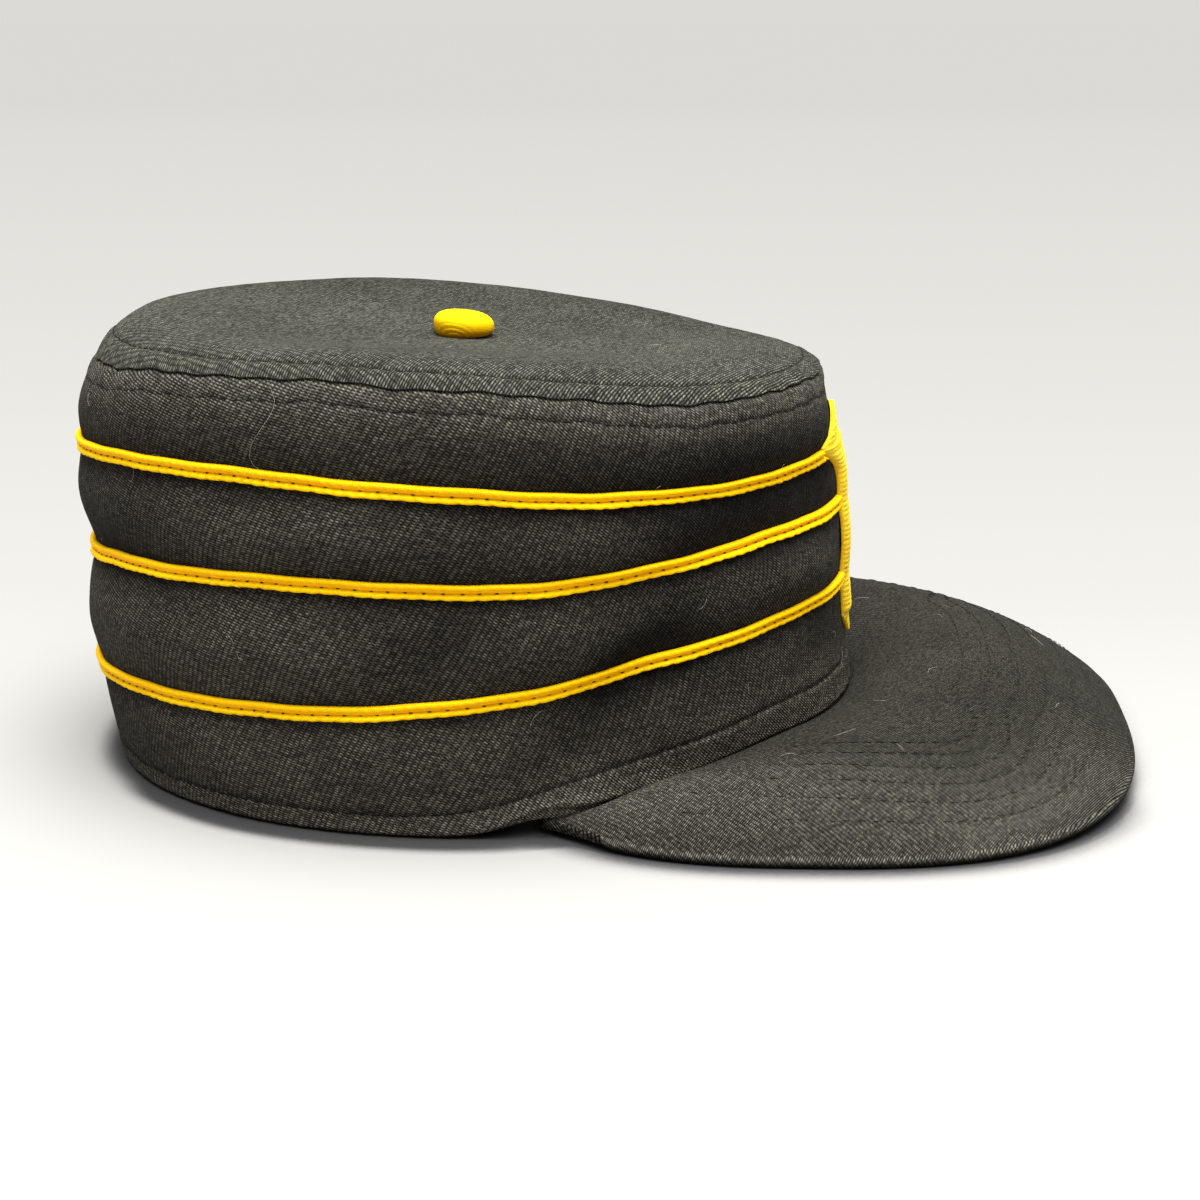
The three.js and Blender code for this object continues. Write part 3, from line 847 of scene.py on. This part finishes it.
# half the badge's width: a tapered stem with a flared head, pointed at the top and rounded at the bottom
def badgeHalf(height):
    share = np.clip((height - badge["bottom"]) / (badge["wingHeight"] - badge["bottom"]), 0, 1)
    stem = badge["foot"] + (badge["stem"] - badge["foot"]) * share
    belowWing = np.minimum(height - badge["wingHeight"], 0)
    flare = (badge["wing"] - badge["stem"]) * bell(belowWing, badge["wingSpread"])
    point = np.clip((badge["top"] - height) / (badge["top"] - badge["wingHeight"]), 0, 1) ** 0.7
    foot = np.sqrt(np.clip((height - badge["bottom"]) / 7.0, 0, 1))
    return badge["tip"] + (stem + flare - badge["tip"]) * point * foot


braid = dict(
    step=0.42, half=1.85, split=-0.15, rise=1.75, groove=0.3, back=0.15, sides=17, thread=0.05, beads=0.1,
    threadPitch=2.4, scallop=0.2, narrow=0.14, sway=0.12, quiver=0.08,
    stitchPitch=3.7, stitchOut=1.2, stitchLength=1.0, stitchWidth=0.3,
)


# one braid: the profile of two round cords side by side, carried along a row, with slanting threads
def makeBraid(name, node, row):
    half = braid["half"]
    across = np.linspace(1, -1, braid["sides"])[None, :] * half
    frontHalf = badgeHalf(rowHeights(np.zeros(1))[row][0] + across) + badge["gap"]
    starts = arcOf(np.arcsin(frontHalf / wall["half"][row]))  # each line ends at the badge's edge
    firstArc = starts.max()
    length = 2 * (arcLengths[-1] - firstArc)
    share = np.linspace(0, 1, int(length / braid["step"]))[:, None]
    along = share * length
    arc = starts + share * 2 * (arcLengths[-1] - starts)
    arc = np.where(arc > arcLengths[-1], arc - 2 * arcLengths[-1], arc)
    angle = angleOf(arc)
    split = braid["split"] * half
    upper = across > split
    radius = np.where(upper, half - split, half + split) / 2
    middle = np.where(upper, half + split, split - half) / 2
    dome = np.sqrt(np.clip(1 - ((across - middle) / radius) ** 2, 0, 1))
    slant = np.where(upper, 1.0, -1.0)
    threads = np.sin(2 * np.pi * (along + slant * across * 0.8) / braid["threadPitch"])
    beads = np.where(upper, braid["thread"], braid["beads"])
    rise = braid["rise"] * np.where(upper, 1.0, 0.85)
    out = braid["back"] + rise * (braid["groove"] + (1 - braid["groove"]) * dome) + beads * threads * dome
    edge = np.abs(across) > half * 0.99
    out = np.where(edge, braid["back"], out)
    sway = braid["sway"] * np.sin(along / 7.3 + row) + braid["quiver"] * np.sin(along / 2.9)
    scallop = braid["scallop"] * np.abs(np.sin(np.pi * along / braid["stitchPitch"]))
    narrow = 1 - braid["narrow"] * smoothStep(awayFromFront(angle), 85, 45)
    height = rowHeights(angle)[row] + sway + across * narrow
    height = height - scallop * smoothStep(-across, 0.8, half)
    face = wallPoint(angle, levelAt(angle, height), out)
    # painted light and shade: the upper cord lit towards its top, the lower cord shaded on its underside,
    # the cords' crowns and threads lighter
    upperTone = 0.1 + 0.35 * smoothStep(across, 0.9, 1.7)
    lowerTone = 0.15 + 0.5 * smoothStep(across, -1.7, -0.8)
    tone = np.where(upper, upperTone, lowerTone) + 0.2 * (dome - 0.7) + 0.08 * threads
    flat = np.stack(np.broadcast_arrays(along, across), -1)
    faces = tubeFaces(1, *face.shape[:2])
    piece = makePiece(name, face, faces, braidCord, tubeFlat(flat, flat), {"tone": tone})
    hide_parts(node)
    return firstArc, length


# the badge: rows of stitching across a plain tapered patch, domed from edge to edge
def makeBadge():
    height = np.linspace(badge["bottom"], badge["top"], badge["rows"])[:, None]
    share = np.sin(np.linspace(-0.5, 0.5, badge["columns"]) * np.pi)[None, :]
    half = badgeHalf(height)

    def onFront(share, out):
        angle = np.arcsin(half * share / wall["half"][0])
        return wallPoint(angle, levelAt(angle, height + 0 * share), out)

    dome = np.sqrt(np.clip(1 - np.abs(share) ** 7, 0, 1))
    toEnd = np.minimum(height - badge["bottom"], badge["top"] - height)
    full = np.where(toEnd > badge["lowEnd"], 1.0, 0.55)  # both ends lie lower
    wander = 0.5 * np.sin(share * 3 + height)
    threads = badge["thread"] * np.sin(2 * np.pi * height / badge["threadPitch"] + wander)
    out = badge["back"] + (badge["proud"] - badge["back"]) * dome * full + threads * dome
    back = onFront(share[:, ::-1][:, 1:-1], 0.1)
    sections = np.concatenate([onFront(share, out), back], 1)
    flat = sections[..., 1:]
    # painted light on the badge's dome and painted shade on its back
    tone = np.concatenate([0.25 + 0.45 * dome + 0 * height, np.zeros(back.shape[:2])], 1)
    piece = makePiece("frontBadge", sections, tubeFaces(1, *sections.shape[:2]), badgeThread,
                      tubeFlat(flat, flat), {"tone": tone})
    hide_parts("front_badge")


button = dict(
    x=-4.4, radius=8.0, height=6.3, rings=90, sides=120, slope=0.74, tip=0.09,
    wrinkle=0.09, wrinkleTurn=-1.85, wrinkleStep=1.5,
)


# the button: a flattened pillow turned about its axis, with a few wrinkles low on one side
def makeButton():
    turn = np.linspace(0, 2 * np.pi, button["sides"] + 1)[None, :]
    share = np.linspace(0.015, 1, button["rings"])[:, None]
    slope = share * np.pi * button["slope"]
    top = np.sign(np.cos(slope)) * np.abs(np.cos(slope)) ** 0.9
    bottom = top[-1, 0]
    radius = button["radius"] * np.sin(slope) ** 0.6
    rise = button["height"] * (top - bottom) / (1 - bottom)
    around = (turn - button["wrinkleTurn"] + np.pi) % (2 * np.pi) - np.pi
    fromFold = np.hypot(around * 7, (share - 0.98) * 13)  # crescents round a point low on the side
    folds = np.sin(2 * np.pi * fromFold / button["wrinkleStep"]) * bell(fromFold, 5.0)
    radius = radius + button["wrinkle"] * folds * np.sin(slope)
    tipped = button["tip"] * radius * np.cos(turn) * smoothStep(rise, 0, 3)
    rise = rise + button["wrinkle"] * folds * np.cos(slope) - tipped
    height = crownTop["centreHeight"] + panelRise(crownTop["meanRadius"]) + 0.1 + np.clip(rise, 0, None)
    points = np.stack([button["x"] + radius * np.cos(turn), radius * np.sin(turn), height], -1)[:, :-1]
    rows, sides = points.shape[:2]
    flat = np.stack(np.broadcast_arrays(turn * 8, share * 14), -1)
    caps = [np.arange(sides).tolist(), (np.arange(sides) + (rows - 1) * sides)[::-1].tolist()]
    flatCorners = np.concatenate([gridFlat(flat).reshape(-1, 2), flat[0, :sides], flat[-1, :sides][::-1]])
    # painted light on the button's top and painted shade low on its side, lighter and darker over the
    # wrinkles
    tone = 0.8 - 0.75 * smoothStep(share, 0.42, 0.95) + 0.12 * folds[:, :-1]
    faces = gridCells(rows, sides)[:, ::-1].tolist() + caps
    piece = makePiece("topButton", points, faces, buttonCloth, flatCorners, {"tone": tone})
    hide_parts("top_button")


stitch = dict(length=2.5, width=0.2, fineWidth=0.16, pitch=3.4, stray=0.15, proud=0.03, sides=6, steps=5)


# stitches: a short bead, thick in the middle and sunk at its ends, copied to each place
def makeStitches(name, places, tangents, normals, material, slot, length, width):
    step = np.linspace(-1, 1, stitch["steps"])[:, None]
    turn = np.linspace(0, 2 * np.pi, stitch["sides"], endpoint=False)[None, :]
    thick = np.sqrt(np.clip(1.02 - step ** 2, 0, 1)) * width
    bead = [step * length / 2, thick * np.cos(turn), thick * np.sin(turn) * 0.8]
    bead = np.stack(np.broadcast_arrays(*bead), -1)
    bead[..., 2] += stitch["proud"] * (1 - 1.6 * step ** 2)
    axes = np.stack([tangents, unit(np.cross(normals, tangents)), normals], 1)
    points = places[:, None] + np.einsum("vk,nkc->nvc", bead.reshape(-1, 3), axes)
    piece = makePiece(name, points, tubeFaces(len(places), stitch["steps"], stitch["sides"]), material)


# places, directions and normals of a sewn row, from a surface point for each angle and shift across the row
def sewnRow(place, angle, ahead, behind, shift):
    tangents = unit(place(ahead, 0.0) - place(behind, 0.0))
    normals = unit(np.cross(tangents, place(angle, shift) - place(angle, -shift)))
    return place(angle, 0.0), tangents, normals


# stitches that follow the wall at a height, on its outer face
def wallStitches(name, heightOf, firstArc, length, pitch, material, slot, out, size, width):
    count = int(length / pitch)
    arc = firstArc + (np.arange(count) + 0.5) * length / count
    arc = arc + seed.uniform(-stitch["stray"], stitch["stray"], count)
    arc = np.where(arc > arcLengths[-1], arc - 2 * arcLengths[-1], arc)

    def place(angle, shift):
        level = levelAt(angle, heightOf(angle) + shift)
        return wallPoint(angle, level, wallRelief(angle, level) if out is None else out)

    besides = [angleOf(np.clip(arc + step, arcLengths[0], arcLengths[-1])) for step in (1.0, -1.0)]
    makeStitches(name, *sewnRow(place, angleOf(arc), *besides, 1.0), material, slot, size, width)


# stitches of the top panel's edge
def panelStitches():
    length = 2 * arcLengths[-1]
    count = int(length / stitch["pitch"])
    arc = -arcLengths[-1] + (np.arange(count) + 0.5) * length / count
    angle = angleOf(arc + seed.uniform(-stitch["stray"], stitch["stray"], count))

    def place(atAngle, shift):
        inset = np.full_like(atAngle, crownTop["stitchInset"] + shift)
        return panelPoint(atAngle, inset, panelRise(inset, atAngle) + panelRelief(atAngle, inset))

    row = sewnRow(place, angle, angle + 0.01, angle - 0.01, 0.5)
    makeStitches("panelStitches", *row, darkThread, "top_cloth", stitch["length"], stitch["width"])


# stitches of the visor: rows offset in from its edge, laid on its top face and sunk into it at the sides
def visorStitches(top):
    edge = visorEdge(np.linspace(-1, 1, 2401))[:, :2]
    tangent = unit(np.gradient(edge, axis=0))
    inward = np.stack([-tangent[:, 1], tangent[:, 0]], -1)
    surface = top.reshape(-1, 3)
    slopes = np.gradient(top, axis=(0, 1))
    normals = unit(np.cross(slopes[1], slopes[0]).reshape(-1, 3))
    normals *= np.sign(normals[:, 2:])
    rows = []
    for inset in visorLook["rows"]:
        path = edge + inward * inset * sideShare(edge[:, 1:] / visor["half"])
        run = np.concatenate([[0], np.cumsum(np.linalg.norm(np.diff(path, axis=0), axis=1))])
        spots = np.arange(1.5, run[-1], stitch["pitch"])
        spots = spots + seed.uniform(-0.12, 0.12, len(spots))
        places = np.stack([np.interp(spots, run, column) for column in path.T], -1)
        ways = np.stack([np.interp(spots, run, column) for column in tangent.T], -1)
        nearest, off = nearestOf(places, surface[:, :2], 12)
        clear = np.hypot(places[:, 0] / 100.5, places[:, 1] / 86.5) > 1.02  # past the crown's hem
        kept = (off < 0.8) & clear
        normal = normals[nearest[kept]]
        spot = np.concatenate([places[kept], surface[nearest[kept], 2:]], 1)
        spot += (0.22 * smoothStep(spot[:, :1], 72, 100) - 0.1) * normal
        way = np.concatenate([ways[kept], np.zeros((kept.sum(), 1))], 1)
        way = unit(way - normal * (way * normal).sum(1, keepdims=True))
        rows.append((spot, way, normal))
    row = [np.concatenate(column) for column in zip(*rows)]
    makeStitches("visorStitches", *row, visorThread, "visor_cloth", stitch["length"], stitch["fineWidth"])


# the strand is the one long hair, as x and height
lint = dict(
    wallCount=34, panelCount=12, visorCount=16, steps=11, thick=0.04, lift=0.22, bend=3.0,
    shortest=1.5, longest=6.0,
    strand=[(-41.5, 108.6), (-38.2, 103.5), (-40.2, 98.5), (-43.2, 92.5), (-40.2, 87.5)],
)


# lint: thin pale hairs lying on the cloth, each a three-sided tube along a bent path
def makeLint():
    share = np.linspace(0, 1, lint["steps"])[None, :]
    lift = lint["lift"] * (0.25 + hump(share))

    def bentPaths(count, low, high):
        step = seed.uniform(lint["shortest"], lint["longest"], (count, 1)) / lint["steps"]
        turn = seed.uniform(-lint["bend"], lint["bend"], (count, 1)) * share
        heading = seed.uniform(0, 2 * np.pi, (count, 1)) + turn
        starts = seed.uniform(low, high, (count, 2))
        first = starts[:, :1] + np.cumsum(np.cos(heading) * step, 1)
        return first, starts[:, 1:] + np.cumsum(np.sin(heading) * step, 1)

    def onWall(arc, height):
        angle = angleOf(arc)
        level = levelAt(angle, height)
        return wallPoint(angle, level, wallRelief(angle, level) + lift)

    walls = onWall(*bentPaths(lint["wallCount"], [-260, 24], [260, 96]))
    knots = np.array(lint["strand"])
    ease = np.linspace(0, 1, len(knots))
    strandX, strandHeight = [np.polyval(np.polyfit(ease, column, 4), share) for column in knots.T]
    strand = onWall(arcOf(-np.arccos(strandX / 99.0)), strandHeight)
    x, y = bentPaths(lint["panelCount"], [-60, -55], [50, 50])
    angle = np.arctan2(y, x)
    inset = crownTop["meanRadius"] - np.hypot(x, y)
    panel = panelPoint(angle, inset, panelRise(inset, angle) + panelRelief(angle, inset) + lift)
    along, out = bentPaths(lint["visorCount"], [-80, 12], [80, 70])
    board = visorUnder(along / 100, out / 80)
    board[..., 2] += visor["thick"] + lift
    paths = np.concatenate([walls, strand, panel, board])
    tangent = unit(np.gradient(paths, axis=1))
    side = unit(np.cross(tangent, [0.31, -0.52, 0.79]))
    over = np.cross(side, tangent)
    turns = np.arange(3) * 2 * np.pi / 3
    ring = side[:, :, None] * np.cos(turns)[:, None] + over[:, :, None] * np.sin(turns)[:, None]
    points = paths[:, :, None] + lint["thick"] * ring
    piece = makePiece("lintHairs", points, tubeFaces(len(paths), lint["steps"], 3), lintFibre)


print("building the cap")
makeCrownSide()
makeCrownTop()
visorTop = makeVisor()
makeBadge()
makeButton()
for braidName, braidNode, braidRow in (("braidUpper", "braid_upper", 3), ("braidMiddle", "braid_middle", 2),
                                       ("braidLower", "braid_lower", 1)):
    firstArc, braidLength = makeBraid(braidName, braidNode, braidRow)
    wallStitches(braidName + "Stitches",
                 lambda angle, row=braidRow: rowHeights(angle)[row] + braid["split"] * braid["half"],
                 firstArc + 2, braidLength - 4, braid["stitchPitch"], goldThread, "braid_cord",
                 braid["stitchOut"], braid["stitchLength"], braid["stitchWidth"])
for rowName, rowAt in (("hemStitches", lambda angle: rimHeight(angle) + hemRowAbove(angle)),
                       ("seamStitches", lambda angle: rowHeights(angle)[4] - crownSide["seamRow"])):
    wallStitches(rowName, rowAt, arcLengths[0], 2 * arcLengths[-1], stitch["pitch"], darkThread,
                 "crown_cloth", None, stitch["length"], stitch["width"])
panelStitches()
visorStitches(visorTop)
makeLint()

studio = dict(
    floorSize=60.0, backRise=2.0, paper=0.34, contactShadow=0.01, contactShadowGain=1.8, fadeFrom=-0.25, fadeTo=3.75,
    fades=[(0.05, 0.93), (0.095, 0.8), (0.132, 0.765), (0.19, 0.725), (0.28, 0.69), (0.47, 0.66)],
    sky=18.4, skyPower=10.0, horizon=0.015, skyTilt=(0.04, -0.04, 0.998),
)


# a pale paper floor, duller further off, with a painted contact shadow where the cap touches it, under a
# soft sky
def makeStudio():
    print("laying the floor and the light")
    mesh = bpy.data.meshes.new("floor")
    reach = studio["floorSize"]
    far = reach / 3
    rise = studio["backRise"]
    corners = [(-reach, -reach, 0), (reach, -reach, 0), (reach, far, 0), (-reach, far, 0)]
    corners += [(reach, reach, rise), (-reach, reach, rise)]
    mesh.from_pydata(corners, [], [(0, 1, 2, 3), (3, 2, 4, 5)])
    material, tree, shader = newMaterial("floorPaper", 0.95, 0.1)
    place = addNode(tree, "ShaderNodeTexCoord")
    split = addNode(tree, "ShaderNodeSeparateXYZ")
    connect(tree, place.outputs["Object"], split.inputs[0])
    near = studio["paper"]
    ramp = addNode(tree, "ShaderNodeValToRGB")
    span = addNode(tree, "ShaderNodeMapRange")
    setInputs(span, {"From Min": studio["fadeFrom"], "From Max": studio["fadeTo"]})
    connect(tree, split.outputs[1], span.inputs["Value"])
    connect(tree, span.outputs[0], ramp.inputs[0])
    ramp.color_ramp.elements[0].color = (near, near, near * 0.985, 1)
    ramp.color_ramp.elements[1].color = (near * 0.62, near * 0.615, near * 0.6, 1)
    for at, share in studio["fades"]:
        stop = ramp.color_ramp.elements.new(at)
        stop.color = (near * share, near * share * 0.995, near * share * 0.965, 1)
    closed = addNode(tree, "ShaderNodeAmbientOcclusion", samples=12)
    closed.inputs["Distance"].default_value = studio["contactShadow"]
    nearSide = stepNode(tree, mathNode(tree, "MULTIPLY", split.outputs[1], -1.0), 0.045, 0.075)
    gain = mathNode(tree, "MULTIPLY_ADD", nearSide, studio["contactShadowGain"], 1.0)  # the painted contact shadow is wider on the near side
    shut = mathNode(tree, "MULTIPLY", mathNode(tree, "SUBTRACT", 1.0, closed.outputs["AO"]), gain)
    contactShadow = stepNode(tree, mathNode(tree, "SUBTRACT", 1.0, shut), 0.5, 0.93)
    # the painted contact shadow's dark colour, laid over the paper
    colour = mixColours(tree, contactShadow, (near * 0.12, near * 0.12, near * 0.125), ramp.outputs[0])
    connect(tree, colour, shader.inputs["Base Color"])
    mesh.materials.append(material)
    floor = bpy.data.objects.new("floor", mesh)
    bpy.context.collection.objects.link(floor)
    world = bpy.data.worlds.new("studioSky")
    bpy.context.scene.world = world
    world.use_nodes = True
    tree = world.node_tree
    sky = tree.nodes["Background"]
    sky.inputs["Color"].default_value = (1.0, 0.995, 0.98, 1)
    towards = addNode(tree, "ShaderNodeTexCoord")
    overhead = addNode(tree, "ShaderNodeVectorMath", operation="DOT_PRODUCT")
    connect(tree, towards.outputs["Generated"], overhead.inputs[0])
    overhead.inputs[1].default_value = studio["skyTilt"]
    facing = mathNode(tree, "MAXIMUM", overhead.outputs["Value"], 0.0)
    lit = mathNode(tree, "POWER", facing, studio["skyPower"])
    strength = mathNode(tree, "MULTIPLY", mathNode(tree, "ADD", lit, studio["horizon"]), studio["sky"])
    connect(tree, strength, sky.inputs["Strength"])
    bpy.context.scene.view_settings.view_transform = "Standard"


view = dict(x=48.3, distance=560.0, height=193.0, turn=0.03, pitch=0.273, lens=63.94)


# the camera stands off the wearer's right side, turned and tipped a little
def makeCamera():
    print("placing the camera")
    camera = bpy.data.objects.new("camera", bpy.data.cameras.new("camera"))
    camera.data.lens = view["lens"]
    camera.data.sensor_width = 36.0
    camera.location = ((view["x"] + crownX) * mm, -view["distance"] * mm, view["height"] * mm)
    camera.rotation_euler = (math.pi / 2 - view["pitch"], 0, view["turn"])
    camera.data.clip_start = 0.01
    bpy.context.collection.objects.link(camera)
    bpy.context.scene.camera = camera


makeStudio()
makeCamera()
print("finished the cap")
